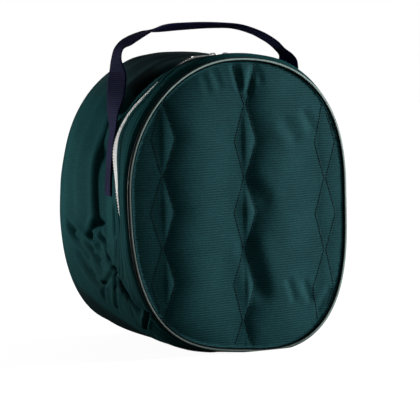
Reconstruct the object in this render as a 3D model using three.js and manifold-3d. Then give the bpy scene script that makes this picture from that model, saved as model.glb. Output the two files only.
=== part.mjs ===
// A soft helmet bag: an oval quilted front panel with a piped edge, a narrow lid gusset, a zip with two
// sliders, a deep body gusset with a soft waist, a plain back panel and a webbing handle.
// Millimetres, +Z up. The front panel faces -Y. The origin is on the floor under the middle of the bag.

import * as THREE from "three";
import { mergeVertices } from "three/addons/utils/BufferGeometryUtils.js";
import Module from "manifold-3d";

const wasm = await Module();
wasm.setup();

// The seam that the piping follows: two half superellipses that share their widest height.
const OVAL = { halfWidth: 126, base: 2.8, top: 307.5, widest: 170, topPower: 2.11, basePower: 2.89 };
const AROUND = 76; // facets round each oval ring

const FRONT_SEAM = -86; // depth of the piping's centre
const BACK_SEAM = 88; // depth where the back panel begins
const REACH = 94.5; // depth of the fullest point of the front and the back panel
const WALL = 1.8; // gusset cloth with its lining
const GAP = 0.3; // clear space between neighbouring pieces

const PIPING = { radius: 2.5, sides: 8 };

// Quilting of the front panel: a chain is two mirrored zigzag seams that make a row of diamonds.
const QUILT = {
  chains: [{ x: -90, rise: 5.5 }, { x: 3.5, rise: 0 }, { x: 98, rise: -6.5 }],
  lean: 0.03, // sideways drift of a chain for each millimetre up
  middle: 150, // height where a chain crosses its x
  firstCrossing: 35,
  pitch: 75,
  halfDiamond: 12.6,
  halfCrossing: 1.2,
  edge: 1.5, // half the wall at the rim and along a seam
  crown: 2.5,
  rimFade: 18, // width of the rim strip where the pillows sink
  diamondPuff: 2,
  rows: 32,
};
const PILLOW_PUFF = REACH + FRONT_SEAM - QUILT.edge - QUILT.crown;

// How far the outer face of the gusset stands out from the seam line at each named depth. The rows go
// up one side: `up` is the share of the way from the middle of the base to the middle of the top.
const STATIONS = [
  { name: "seam", depth: -83 },
  { name: "puff", depth: -78 },
  { name: "lid", depth: -66 },
  { name: "zip", depth: -48 },
  { name: "strapFront", depth: -24 },
  { name: "strapBack", depth: 8, straight: true },
  { name: "valley", depth: 30 },
  { name: "shoulder", depth: 48 },
  { name: "roll", depth: 68 },
  { name: "back", depth: 87 },
];
const GUSSET_ROWS = [
  { up: 0.00, seam: 1.0, puff: 4, lid: 4.5, zip: 5, strapFront: 5, strapBack: 5, valley: 5, shoulder: 5, roll: 4.5, back: -4 },
  { up: 0.08, seam: 1.0, puff: 3.5, lid: 3.5, zip: 4, strapFront: 4.5, strapBack: 4.5, valley: 4, shoulder: 3, roll: 2, back: -5 },
  { up: 0.16, seam: 0.8, puff: 3, lid: 2.5, zip: 2, strapFront: 1, strapBack: 0.5, valley: 0, shoulder: -0.5, roll: -2, back: -6 },
  { up: 0.24, seam: 0.5, puff: 3, lid: 2, zip: 1, strapFront: 0, strapBack: -1, valley: -1, shoulder: -1, roll: -2, back: -4 },
  { up: 0.36, seam: 0.5, puff: 3.2, lid: 1, zip: -2, strapFront: -1, strapBack: -2, valley: 0, shoulder: 3, roll: 4, back: 1 },
  { up: 0.48, seam: 0.5, puff: 3.5, lid: -1, zip: -6, strapFront: -9, strapBack: -12, valley: -3, shoulder: 4, roll: 6, back: 2 },
  { up: 0.56, seam: 0.5, puff: 3.8, lid: 0, zip: -3, strapFront: -9, strapBack: -14, valley: -4, shoulder: 3, roll: 5, back: 2 },
  { up: 0.62, seam: 0.5, puff: 4, lid: 2, zip: 3, strapFront: -8, strapBack: -12, valley: -4, shoulder: 2.5, roll: 4, back: 1.5 },
  { up: 0.70, seam: 0.5, puff: 5, lid: 4, zip: 5, strapFront: -3, strapBack: -5, valley: -2, shoulder: 1.5, roll: 3, back: 1 },
  { up: 0.82, seam: 0.5, puff: 6, lid: 4.8, zip: 4, strapFront: 0, strapBack: 0, valley: 0.5, shoulder: 2.5, roll: 4, back: 1 },
  { up: 1.00, seam: 0.5, puff: 6.4, lid: 5.2, zip: 3.5, strapFront: 3, strapBack: 4, valley: 5, shoulder: 6, roll: 7, back: 3 },
];

// The zip line: its depth and the width left open between the two gussets.
const ZIP_ROWS = [
  { up: 0.00, depth: -22, opening: 0.6 },
  { up: 0.20, depth: -25, opening: 0.6 },
  { up: 0.32, depth: -40, opening: 1.5 },
  { up: 0.44, depth: -48, opening: 1.5 },
  { up: 0.55, depth: -47, opening: 9 },
  { up: 0.64, depth: -47, opening: 19 },
  { up: 0.72, depth: -50, opening: 8 },
  { up: 0.78, depth: -54, opening: 9 },
  { up: 0.83, depth: -56, opening: 3 },
  { up: 0.88, depth: -50, opening: 3 },
  { up: 0.95, depth: -46, opening: 9.5 },
  { up: 1.00, depth: -46, opening: 10 },
];
const ZIP = { from: 0.28, width: 26, tape: 0.8, coilWidth: 5, coilHeight: 1.6, steps: 50 };

// Slider and pull, along the zip, across it and up from the top of the coil.
const SLIDER = { length: 10, width: 8, plate: 1.3, lip: 1.1, lipDrop: 1.2, apart: 15 };
const BRIDGE = { length: 8, width: 2, opening: 5, rise: 2.6, bar: 1.4 };
const PULL = { length: 24, width: 7, thick: 1.4, bar: 1.4, eyeLength: 5.6, eyeWidth: 3, corner: 1.5 };

// The webbing handle: sewn to each side from `sewnFrom` to `sewnTo`, then free. The rows follow the middle
// of the free webbing from the left side to the right. The turn, in degrees, swings its back edge outwards.
const STRAP = { depth: -8, sewnFrom: 0.535, sewnTo: 0.69, sewnSteps: 6, width: 25, thick: 2, steps: 76 };
const ARCH_ROWS = [
  { x: -106.5, z: 254, turn: 4 },
  { x: -103.5, z: 266, turn: 16 },
  { x: -101.5, z: 280, turn: 28 },
  { x: -101.2, z: 296, turn: 27 },
  { x: -101, z: 311, turn: 20 },
  { x: -97, z: 321.5, turn: 6 },
  { x: -84, z: 330, turn: 1 },
  { x: -64, z: 338, turn: -12 },
  { x: -52, z: 340.4, turn: -15 },
  { x: -22, z: 343.6, turn: -15.5 },
  { x: 18, z: 344.8, turn: -10 },
  { x: 42, z: 341.8, turn: -4 },
  { x: 66, z: 334, turn: 3 },
  { x: 85, z: 323, turn: 9 },
  { x: 98, z: 309.5, turn: -8 },
  { x: 102, z: 298, turn: -17 },
  { x: 104, z: 284, turn: -14 },
  { x: 105.5, z: 270, turn: -8 },
  { x: 107, z: 254, turn: -2 },
];

const COLOURS = { cloth: 0x1d4244, piping: 0x1c4a48, tape: 0xe6e6e4, metal: 0xc9cccd, webbing: 0x23264a };

// The seam as a closed curve in the X Z plane, from the middle of the base round by +X.
class OvalSeam extends THREE.Curve {
  getPoint(t, target = new THREE.Vector2()) {
    const angle = (t - 0.25) * 2 * Math.PI;
    const across = Math.cos(angle);
    const rise = Math.sin(angle);
    const power = 2 / (rise >= 0 ? OVAL.topPower : OVAL.basePower);
    const reach = rise >= 0 ? OVAL.top - OVAL.widest : OVAL.widest - OVAL.base;
    return target.set(
      OVAL.halfWidth * Math.sign(across) * Math.abs(across) ** power,
      OVAL.widest + reach * Math.sign(rise) * Math.abs(rise) ** power,
    );
  }
}
const seamCurve = new OvalSeam();
seamCurve.arcLengthDivisions = 2000;

// Share of the way up a side for a place on the seam, 0 at the base and 1 at the top.
function upFrom(round) {
  return 1 - Math.abs(1 - 2 * round);
}

// The place on the seam for a share of the way up the left (-1) or the right (+1) side.
function roundAt(up, side) {
  return side > 0 ? up / 2 : 1 - up / 2;
}

// Smooth values between the rows of a table, for the named columns.
function tableCurve(rows, columns) {
  const ups = rows.map((row) => row.up);
  const values = rows.flatMap((row) => columns.map((column) => row[column]));
  const curve = new THREE.CubicInterpolant(ups, values, columns.length);
  curve.settings = { endingStart: THREE.ZeroSlopeEnding, endingEnd: THREE.ZeroSlopeEnding };
  return (up) => Array.from(curve.evaluate(up));
}
const gussetRow = tableCurve(GUSSET_ROWS, STATIONS.map((station) => station.name));
const zipRow = tableCurve(ZIP_ROWS, ["depth", "opening"]);

// Bulge of the gusset's outer face. It eases from station to station, but runs straight under the strap.
function bulgeAt(up, depth) {
  const values = gussetRow(up);
  const last = STATIONS.length - 1;
  const y = THREE.MathUtils.clamp(depth, STATIONS[0].depth, STATIONS[last].depth);
  const next = Math.max(1, STATIONS.findIndex((station) => station.depth >= y));
  const from = STATIONS[next - 1].depth;
  const to = STATIONS[next].depth;
  const straight = (y - from) / (to - from);
  const share = STATIONS[next].straight ? straight : THREE.MathUtils.smoothstep(straight, 0, 1);
  return THREE.MathUtils.lerp(values[next - 1], values[next], share);
}

function zipAt(up) {
  const [depth, opening] = zipRow(up);
  return { depth, opening: Math.max(opening, 2 * GAP) };
}

// A point off the seam line, `out` along its outward normal.
function offSeam(round, depth, out) {
  const seam = seamCurve.getPointAt(round);
  const along = seamCurve.getTangentAt(round);
  return new THREE.Vector3(seam.x + along.y * out, depth, seam.y - along.x * out);
}

// A point of the gusset, `lift` above its outer face. Under the bag the cloth is pressed flat.
function gussetPoint(round, depth, lift) {
  const point = offSeam(round, depth, bulgeAt(upFrom(round), depth) + lift);
  point.z = Math.max(point.z, -lift);
  return point;
}

// Moves every corner of a geometry to place(x, y, z) and welds the corners that meet.
function bend(geometry, place) {
  const corners = geometry.getAttribute("position");
  for (let i = 0; i < corners.count; i += 1) {
    const point = place(corners.getX(i), corners.getY(i), corners.getZ(i));
    corners.setXYZ(i, point.x, point.y, point.z);
  }
  return weld(geometry);
}

function weld(geometry) {
  geometry.deleteAttribute("normal");
  geometry.deleteAttribute("uv");
  return mergeVertices(geometry, 1e-4);
}

// A ring turned from a closed section and bent round the bag. A section point is [share, lift], and
// place(round, share, lift) gives it its point.
function ovalRing(section, place) {
  const hub = 100;
  const profile = section.map(([share, lift]) => new THREE.Vector2(hub + lift, share));
  const ring = new THREE.LatheGeometry(profile, AROUND);
  return bend(ring, (x, y, z) => {
    const turn = Math.atan2(x, z) / (2 * Math.PI);
    return place((turn + 1) % 1, y, Math.hypot(x, z) - hub);
  });
}

// The closed section of a cloth wall: the inner face from front to back, then the outer face.
function wallSection(shares) {
  const inner = shares.map((share) => [share, -WALL]);
  const outer = shares.map((share) => [share, 0]).reverse();
  return [...inner, ...outer, inner[0]];
}

function toSolid(geometry) {
  const mesh = new wasm.Mesh({
    numProp: 3,
    vertProperties: new Float32Array(geometry.getAttribute("position").array),
    triVerts: new Uint32Array(geometry.getIndex().array),
  });
  return new wasm.Manifold(mesh);
}

function fromSolid(solid) {
  const mesh = solid.getMesh();
  const geometry = new THREE.BufferGeometry();
  geometry.setAttribute("position", new THREE.BufferAttribute(new Float32Array(mesh.vertProperties), 3));
  geometry.setIndex(new THREE.BufferAttribute(new Uint32Array(mesh.triVerts), 1));
  return geometry;
}

// A plate cut from a flat outline, standing on its local X Y plane.
function plate(shape, thick, curveSegments = 6) {
  return weld(new THREE.ExtrudeGeometry(shape, { depth: thick, bevelEnabled: false, curveSegments }));
}

function node(name, geometry, colour, roughness, metalness) {
  const flat = geometry.toNonIndexed();
  flat.computeVertexNormals();
  const material = new THREE.MeshStandardMaterial({ color: colour, roughness, metalness });
  const mesh = new THREE.Mesh(flat, material);
  mesh.name = name;
  return mesh;
}

// Distance in from the rim of the panel, near enough for a fade.
function rimDistance(x, z) {
  const reach = z >= OVAL.widest ? OVAL.top - OVAL.widest : OVAL.widest - OVAL.base;
  const power = z >= OVAL.widest ? OVAL.topPower : OVAL.basePower;
  const across = Math.abs(x) / OVAL.halfWidth;
  const rise = Math.abs(z - OVAL.widest) / reach;
  const level = (across ** power + rise ** power) ** (1 / power);
  return { level: Math.min(level, 1), distance: Math.max(0, 1 - level) * OVAL.halfWidth };
}

// One row of the quilted panel: the columns follow the seams, and each has its share of the padding.
function quiltRow(z) {
  const columns = [{ x: -OVAL.halfWidth - 4, puff: 0 }];
  for (const chain of QUILT.chains) {
    const phase = (z - QUILT.firstCrossing - chain.rise) / QUILT.pitch;
    const swing = 1 - Math.abs(1 - 2 * (phase - Math.floor(phase)));
    const half = THREE.MathUtils.lerp(QUILT.halfCrossing, QUILT.halfDiamond, swing);
    const middle = chain.x + QUILT.lean * (z - QUILT.middle);
    pillowColumns(columns, middle - half);
    columns.push({ x: middle - half, puff: 0 });
    columns.push({ x: middle, puff: QUILT.diamondPuff * swing });
    columns.push({ x: middle + half, puff: 0 });
  }
  pillowColumns(columns, OVAL.halfWidth + 4);
  columns.push({ x: OVAL.halfWidth + 4, puff: 0 });
  return columns;
}

// The rounded pillow from the last column to the next seam.
function pillowColumns(columns, to) {
  const from = columns[columns.length - 1].x;
  for (const [share, puff] of [[0.14, 0.62], [0.5, 1], [0.86, 0.62]]) {
    columns.push({ x: THREE.MathUtils.lerp(from, to, share), puff: PILLOW_PUFF * puff });
  }
}

// The padded panel: a quilted slab trimmed by the oval inside the piping.
function frontPanel() {
  const count = quiltRow(0).length - 1;
  const slab = new THREE.BoxGeometry(1, 1, 1, count, QUILT.rows, 1);
  const bent = bend(slab, (i, j, face) => {
    const z = THREE.MathUtils.lerp(OVAL.base - 4, OVAL.top + 4, j + 0.5);
    const column = quiltRow(z)[Math.round((i + 0.5) * count)];
    const rim = rimDistance(column.x, z);
    const crown = QUILT.crown * (1 - rim.level ** 2);
    const puff = column.puff * THREE.MathUtils.smoothstep(rim.distance, 0, QUILT.rimFade);
    const out = face > 0 ? QUILT.edge + puff : -QUILT.edge;
    return new THREE.Vector3(column.x, FRONT_SEAM - crown - out, z);
  });
  const outline = [];
  for (let i = 0; i < AROUND; i += 1) {
    const point = offSeam(i / AROUND, 0, -PIPING.radius - GAP);
    outline.push(new THREE.Vector2(point.x, point.z));
  }
  const prism = plate(new THREE.Shape(outline), 60).rotateX(Math.PI / 2);
  prism.translate(0, FRONT_SEAM + 30, 0);
  return fromSolid(toSolid(bent).intersect(toSolid(prism)));
}

function frontPiping() {
  const section = [];
  for (let i = 0; i <= PIPING.sides; i += 1) {
    const angle = (i % PIPING.sides) * 2 * Math.PI / PIPING.sides;
    section.push([PIPING.radius * Math.cos(angle), PIPING.radius * Math.sin(angle)]);
  }
  return ovalRing(section, (round, back, out) => offSeam(round, FRONT_SEAM + back, out));
}

function lidGusset() {
  const from = FRONT_SEAM + PIPING.radius + GAP;
  return ovalRing(wallSection([0, 0.16, 0.4, 0.7, 1]), (round, share, lift) => {
    const zip = zipAt(upFrom(round));
    const edge = zip.depth - zip.opening / 2;
    return gussetPoint(round, THREE.MathUtils.lerp(from, edge, share), lift);
  });
}

// The ring behind the zip. Shares up to 1 end where the flat strip under the strap ends, so that it stays flat.
function bodyGusset() {
  const shares = [0, 0.25, 0.5, 1, 1.13, 1.27, 1.43, 1.6, 1.77, 1.88, 2];
  const flatEnd = STATIONS.find((station) => station.straight).depth;
  return ovalRing(wallSection(shares), (round, share, lift) => {
    const zip = zipAt(upFrom(round));
    const edge = zip.depth + zip.opening / 2;
    const depth = share < 1
      ? THREE.MathUtils.lerp(edge, flatEnd, share)
      : THREE.MathUtils.lerp(flatEnd, BACK_SEAM - GAP, share - 1);
    return gussetPoint(round, depth, lift);
  });
}

// A strip along the zip line, under the gussets. `above` and `below` are its faces, counted down from the
// outer face of the cloth.
function zipStrip(width, columns, above, below) {
  const strip = new THREE.BoxGeometry(1, 1, 1, ZIP.steps, columns, 1);
  return bend(strip, (along, across, face) => {
    const start = roundAt(ZIP.from, 1);
    const round = THREE.MathUtils.lerp(1 - start, start, along + 0.5);
    const depth = zipAt(upFrom(round)).depth + across * width;
    return gussetPoint(round, depth, face > 0 ? -above : -below);
  });
}

// The back panel: a domed disc that closes the gusset.
function backPanel() {
  const dome = REACH - BACK_SEAM - WALL;
  const section = [[WALL, 0], [WALL, 0.45], [WALL, 0.8], [WALL, 1], [0, 1], [0, 0.8], [0, 0.45], [0, 0]];
  const profile = section.map(([y, share]) => new THREE.Vector2(share, y));
  return bend(new THREE.LatheGeometry(profile, AROUND), (x, y, z) => {
    const share = Math.hypot(x, z);
    const round = (Math.atan2(x, z) / (2 * Math.PI) + 1) % 1;
    const middle = new THREE.Vector3(0, BACK_SEAM, OVAL.widest - 12);
    const point = middle.lerp(gussetPoint(round, BACK_SEAM, 0), share);
    point.y += y + dome * (1 - share ** 2);
    return point;
  });
}

// The rows of one sewn end, from its lower edge up. The webbing lies on the slope of the cloth.
function sewnRows(side) {
  const lift = GAP + 0.2 + STRAP.thick / 2;
  const rows = [];
  for (let i = 0; i <= STRAP.sewnSteps; i += 1) {
    const up = THREE.MathUtils.lerp(STRAP.sewnFrom, STRAP.sewnTo, i / STRAP.sewnSteps);
    const point = gussetPoint(roundAt(up, side), STRAP.depth, lift);
    const fall = bulgeAt(up, STRAP.depth + 10) - bulgeAt(up, STRAP.depth - 10);
    const turn = THREE.MathUtils.radToDeg(Math.atan2(fall, 20));
    rows.push({ x: point.x, z: point.z, turn });
  }
  return rows;
}

function handleStrap() {
  const rows = [...sewnRows(-1), ...ARCH_ROWS, ...sewnRows(1).reverse()];
  const points = rows.map((row) => new THREE.Vector3(row.x, STRAP.depth, row.z));
  const curve = new THREE.CatmullRomCurve3(points, false, "centripetal");
  const band = new THREE.BoxGeometry(1, 1, 1, STRAP.steps, 2, 1);
  return bend(band, (along, across, face) => {
    const share = along + 0.5;
    const place = share * (rows.length - 1);
    const row = Math.min(Math.floor(place), rows.length - 2);
    const turn = THREE.MathUtils.degToRad(THREE.MathUtils.lerp(rows[row].turn, rows[row + 1].turn, place - row));
    const tangent = curve.getTangent(share);
    const out = new THREE.Vector3(-tangent.z, 0, tangent.x);
    const back = new THREE.Vector3(0, Math.cos(turn), 0).addScaledVector(out, Math.sin(turn));
    const up = out.clone().multiplyScalar(Math.cos(turn)).add(new THREE.Vector3(0, -Math.sin(turn), 0));
    return curve.getPoint(share)
      .addScaledVector(back, across * STRAP.width)
      .addScaledVector(up, face * STRAP.thick);
  });
}

// The frame of a slider: on top of the coil, level along the zip. X points away from the middle of the bag.
function sliderFrame(side) {
  const round = 0.5 - side * SLIDER.apart / 2 / seamCurve.getLength();
  const along = seamCurve.getTangentAt(round);
  const rest = gussetPoint(round, zipAt(upFrom(round)).depth, -WALL);
  const away = new THREE.Vector3(-along.x * side, 0, -along.y * side);
  const up = new THREE.Vector3(along.y, 0, -along.x);
  const across = up.clone().cross(away);
  return new THREE.Matrix4().makeBasis(away, across, up).setPosition(rest);
}

function slider(side) {
  const half = SLIDER.width / 2;
  const section = new THREE.Shape();
  section.moveTo(-half, -SLIDER.lipDrop);
  section.lineTo(-half + SLIDER.lip, -SLIDER.lipDrop);
  section.lineTo(-half + SLIDER.lip, 0);
  section.lineTo(half - SLIDER.lip, 0);
  section.lineTo(half - SLIDER.lip, -SLIDER.lipDrop);
  section.lineTo(half, -SLIDER.lipDrop);
  section.lineTo(half, SLIDER.plate - 0.4);
  section.lineTo(half - 0.4, SLIDER.plate);
  section.lineTo(-half + 0.4, SLIDER.plate);
  section.lineTo(-half, SLIDER.plate - 0.4);
  const body = plate(section, SLIDER.length);
  body.translate(0, 0, -SLIDER.length / 2).rotateY(Math.PI / 2).rotateX(Math.PI / 2);

  const top = SLIDER.plate + BRIDGE.rise;
  const arch = new THREE.Shape();
  arch.moveTo(-BRIDGE.length / 2, SLIDER.plate - 0.3);
  arch.lineTo(-BRIDGE.opening / 2, SLIDER.plate - 0.3);
  arch.lineTo(-BRIDGE.opening / 2, top - 0.6);
  arch.lineTo(-BRIDGE.opening / 2 + 0.6, top);
  arch.lineTo(BRIDGE.opening / 2 - 0.6, top);
  arch.lineTo(BRIDGE.opening / 2, top - 0.6);
  arch.lineTo(BRIDGE.opening / 2, SLIDER.plate - 0.3);
  arch.lineTo(BRIDGE.length / 2, SLIDER.plate - 0.3);
  arch.lineTo(BRIDGE.length / 2, top - 0.2);
  arch.lineTo(BRIDGE.opening / 2 - 0.4, top + BRIDGE.bar);
  arch.lineTo(-BRIDGE.opening / 2 + 0.4, top + BRIDGE.bar);
  arch.lineTo(-BRIDGE.length / 2, top - 0.2);
  const bridge = plate(arch, BRIDGE.width);
  bridge.translate(0, 0, -BRIDGE.width / 2).rotateX(Math.PI / 2);
  return fromSolid(toSolid(body).add(toSolid(bridge))).applyMatrix4(sliderFrame(side));
}

// The pull lies along the zip with the bar of its eye in the bridge.
function pull(side) {
  const half = PULL.width / 2;
  const near = -PULL.bar / 2;
  const far = PULL.length;
  const outline = new THREE.Shape();
  outline.moveTo(near, -PULL.eyeWidth / 2 - PULL.bar);
  outline.lineTo(PULL.eyeLength, -half);
  outline.lineTo(far - PULL.corner, -half);
  outline.quadraticCurveTo(far, -half, far, -half + PULL.corner);
  outline.lineTo(far, half - PULL.corner);
  outline.quadraticCurveTo(far, half, far - PULL.corner, half);
  outline.lineTo(PULL.eyeLength, half);
  outline.lineTo(near, PULL.eyeWidth / 2 + PULL.bar);
  const eye = new THREE.Path();
  eye.moveTo(PULL.bar / 2, -PULL.eyeWidth / 2);
  eye.lineTo(PULL.bar / 2, PULL.eyeWidth / 2);
  eye.lineTo(PULL.eyeLength, PULL.eyeWidth / 2);
  eye.lineTo(PULL.eyeLength, -PULL.eyeWidth / 2);
  outline.holes.push(eye);
  const tab = plate(outline, PULL.thick, 4);
  tab.translate(0, 0, SLIDER.plate + BRIDGE.rise / 2 - PULL.thick / 2);
  return tab.applyMatrix4(sliderFrame(side));
}

const coilTop = WALL + GAP;
const coilBase = coilTop + ZIP.coilHeight;
const tapeTop = coilBase + 2 * GAP;

const bag = new THREE.Group();
bag.name = "helmet_bag";
bag.add(
  node("front_panel", frontPanel(), COLOURS.cloth, 0.85, 0),
  node("front_piping", frontPiping(), COLOURS.piping, 0.45, 0),
  node("lid_gusset", lidGusset(), COLOURS.cloth, 0.85, 0),
  node("zip_tape", zipStrip(ZIP.width, 4, tapeTop, tapeTop + ZIP.tape), COLOURS.tape, 0.8, 0),
  node("zip_coil", zipStrip(ZIP.coilWidth, 1, coilTop, coilBase), COLOURS.tape, 0.5, 0),
  node("zip_slider_left", slider(-1), COLOURS.metal, 0.35, 0.9),
  node("zip_slider_right", slider(1), COLOURS.metal, 0.35, 0.9),
  node("zip_pull_left", pull(-1), COLOURS.metal, 0.35, 0.9),
  node("zip_pull_right", pull(1), COLOURS.metal, 0.35, 0.9),
  node("body_gusset", bodyGusset(), COLOURS.cloth, 0.85, 0),
  node("back_panel", backPanel(), COLOURS.cloth, 0.85, 0),
  node("handle_strap", handleStrap(), COLOURS.webbing, 0.9, 0),
);

export default bag;
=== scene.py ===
import math

import bpy
import numpy as np
from mathutils import Matrix, Vector, geometry


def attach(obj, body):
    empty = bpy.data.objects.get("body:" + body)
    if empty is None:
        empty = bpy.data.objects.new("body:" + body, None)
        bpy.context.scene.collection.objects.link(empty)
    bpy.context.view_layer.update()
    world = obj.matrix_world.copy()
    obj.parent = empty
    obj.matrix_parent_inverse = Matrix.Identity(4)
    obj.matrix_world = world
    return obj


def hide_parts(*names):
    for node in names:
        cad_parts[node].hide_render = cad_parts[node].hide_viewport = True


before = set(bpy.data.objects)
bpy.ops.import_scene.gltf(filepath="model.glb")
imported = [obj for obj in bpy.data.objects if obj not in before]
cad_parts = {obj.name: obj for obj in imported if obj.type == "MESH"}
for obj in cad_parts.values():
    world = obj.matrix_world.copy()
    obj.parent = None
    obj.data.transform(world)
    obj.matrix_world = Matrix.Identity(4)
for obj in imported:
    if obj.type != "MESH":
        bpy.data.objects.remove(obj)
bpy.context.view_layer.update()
scene = bpy.context.scene
print("frame loaded:", len(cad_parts), "CAD nodes")

# Shapes are worked out in millimetres and go into the meshes in metres.
# The bag stands on z 0, its quilted front faces -y.

cameraSetup = {
    "place": (-973.2, -1979.6, 331.9),
    "yaw": 26.36,  # degrees, to the right of +y
    "pitch": 4.85,  # degrees down
    "roll": -1.36,
    "lens": 175.6,  # on a 36 mm sensor
}


def makeCamera(setup):
    # forward from yaw and pitch, then right and up turned about it by the roll
    yaw, pitch, roll = (math.radians(setup[k]) for k in ("yaw", "pitch", "roll"))
    forward = Vector((math.sin(yaw) * math.cos(pitch), math.cos(yaw) * math.cos(pitch), -math.sin(pitch)))
    level = Vector((math.cos(yaw), -math.sin(yaw), 0))
    rise = level.cross(forward)
    right = level * math.cos(roll) + rise * math.sin(roll)
    upward = rise * math.cos(roll) - level * math.sin(roll)
    data = bpy.data.cameras.new("camera")
    data.lens = setup["lens"]
    data.sensor_width = 36
    data.clip_end = 20
    obj = bpy.data.objects.new("camera", data)
    turn = Matrix((right, upward, -forward)).transposed().to_4x4()
    obj.matrix_world = Matrix.Translation(Vector(setup["place"]) * 0.001) @ turn
    scene.collection.objects.link(obj)
    scene.camera = obj


makeCamera(cameraSetup)


# meshes from arrays

def addMesh(name, points, faces, loopUv=None, smooth=True):
    # faces is a list of index arrays, one for each number of corners; turned round if the volume comes out negative
    tris = np.vstack([f[:, (0, k, k + 1)] for f in faces for k in range(1, f.shape[1] - 1)])
    a, b, c = (points[tris[:, k]] for k in range(3))
    if np.einsum("ij,ij->", a, np.cross(b, c)) < 0:
        faces = [f[:, ::-1] for f in faces]
        if loopUv is not None:
            loopUv = [u[:, ::-1] for u in loopUv]
    mesh = bpy.data.meshes.new(name)
    mesh.from_pydata((points * 0.001).tolist(), [], sum((f.tolist() for f in faces), []))
    if loopUv is not None:
        flat = np.vstack([u.reshape(-1, 2) for u in loopUv]) * 0.001
        mesh.uv_layers.new(name="surface").data.foreach_set("uv", flat.astype(np.float32).ravel())
    mesh.polygons.foreach_set("use_smooth", np.full(len(mesh.polygons), smooth))
    mesh.update()
    obj = bpy.data.objects.new(name, mesh)
    scene.collection.objects.link(obj)
    return obj


def gridFaces(points, uv, wrapU=False, wrapV=False):
    # quads between neighbouring points of a grid, joined up where the surface closes on itself
    nu, nv = points.shape[:2]
    i, j = np.meshgrid(np.arange(nu - (not wrapU)), np.arange(nv - (not wrapV)), indexing="ij")
    steps = ((0, 0), (1, 0), (1, 1), (0, 1))
    quads = np.stack([((i + a) % nu) * nv + (j + b) % nv for a, b in steps], -1).reshape(-1, 4)
    corners = np.stack([uv[i + a, j + b] for a, b in steps], 2).reshape(-1, 4, 2)
    return quads, corners


def tubePiece(name, points, uv, wrapU=False):
    # a closed section carried along a path; an open path gets a fan over each end
    quads, corners = gridFaces(points, uv, wrapU, True)
    flat = points.reshape(-1, 3)
    if wrapU:
        return addMesh(name, flat, [quads], [corners])
    nu, nv = points.shape[:2]
    ring = np.arange(nv)
    nextRing = (ring + 1) % nv
    start = np.stack([np.full(nv, nu * nv), ring, nextRing], 1)
    end = np.stack([np.full(nv, nu * nv + 1), (nu - 1) * nv + nextRing, (nu - 1) * nv + ring], 1)
    flat = np.vstack([flat, points[0].mean(0), points[-1].mean(0)])
    fans = np.vstack([start, end])
    return addMesh(name, flat, [quads, fans], [corners, np.zeros((2 * nv, 3, 2))])


def rowsAt(rows, at):
    # cubic through the rows of a short table; the slope at a row is the mean of those on either side
    rows = np.array(rows, float)
    x, v = rows[:, 0], rows[:, 1:]
    rise = np.diff(v, axis=0) / np.diff(x)[:, None]
    slope = np.zeros_like(v)
    slope[1:-1] = (rise[:-1] + rise[1:]) / 2
    at = np.asarray(at, float)
    i = np.clip(np.searchsorted(x, at, side="right") - 1, 0, len(x) - 2)
    width = (x[i + 1] - x[i])[..., None]
    p = (at - x[i])[..., None] / width
    return (v[i] * (2 * p**3 - 3 * p**2 + 1) + slope[i] * width * (p**3 - 2 * p**2 + p)
            + v[i + 1] * (3 * p**2 - 2 * p**3) + slope[i + 1] * width * (p**3 - p**2))


def ease(x, low, high):
    # 0 below low, 1 above high, smooth between
    t = np.clip((x - low) / (high - low), 0, 1)
    return t * t * (3 - 2 * t)


def pointColour(obj, name, values):
    # a grey colour attribute with one value for each vertex
    grey = np.repeat(np.asarray(values, np.float32).reshape(-1, 1), 4, 1)
    grey[:, 3] = 1
    obj.data.color_attributes.new(name, "FLOAT_COLOR", "POINT").data.foreach_set("color", grey.ravel())


def finishPiece(obj, nodes, material, body="bag"):
    obj.data.materials.append(material)
    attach(obj, body)
    if nodes:
        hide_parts(*nodes)


# the oval seam that everything follows

oval = {
    "halfWidth": 126, "base": 2.8, "top": 307.5, "widest": 170,
    "topPower": 2.11, "basePower": 2.89,
    "frontSeam": -86, "backSeam": 88,
    "wall": 1.8, "samples": 8001,
}


def halfShape(top):
    # reach from the widest line and power of the curve, in the top half or the base half
    reach = np.where(top, oval["top"] - oval["widest"], oval["widest"] - oval["base"])
    return reach, np.where(top, oval["topPower"], oval["basePower"])


def runLength(path):
    # length along a path up to each of its points
    return np.concatenate([[0], np.cumsum(np.linalg.norm(np.diff(path, axis=0), axis=1))])


def makeSeam():
    # two half superellipses: x goes with a power of the cosine, z with a power of the sine, spaced by length
    a = (np.linspace(0, 1, oval["samples"]) - 0.25) * 2 * np.pi
    c, s = np.cos(a), np.sin(a)
    reach, power = halfShape(s >= 0)
    x = oval["halfWidth"] * np.sign(c) * np.abs(c) ** (2 / power)
    z = oval["widest"] + reach * np.sign(s) * np.abs(s) ** (2 / power)
    length = runLength(np.stack([x, z], 1))
    return x, z, length / length[-1], length[-1]


seamX, seamZ, seamShare, seamLength = makeSeam()


def seamAt(share, near=1e-3):
    # point and outward normal at a share of the way round, from the middle of the base by +x
    def at(s):
        s = np.mod(s, 1)
        return np.interp(s, seamShare, seamX), np.interp(s, seamShare, seamZ)
    (x, z), (ax, az), (bx, bz) = at(share), at(share + near), at(share - near)
    size = np.hypot(ax - bx, az - bz)
    return x, z, (az - bz) / size, (bx - ax) / size


def ovalLevel(x, z):
    # 0 at the widest height on the middle line, 1 on the seam
    reach, power = halfShape(z >= oval["widest"])
    return ((np.abs(x) / oval["halfWidth"]) ** power + (np.abs(z - oval["widest"]) / reach) ** power) ** (1 / power)


frontLean = {
    "right": (4.9, 5.6), "left": (-2.2, -4.4),  # how far the corners of the front stand out, at the top and the base
    "fade": (-62, -80),  # depths over which that comes in
    "lowest": 0.7,  # nothing is pushed below this height
}


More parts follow.
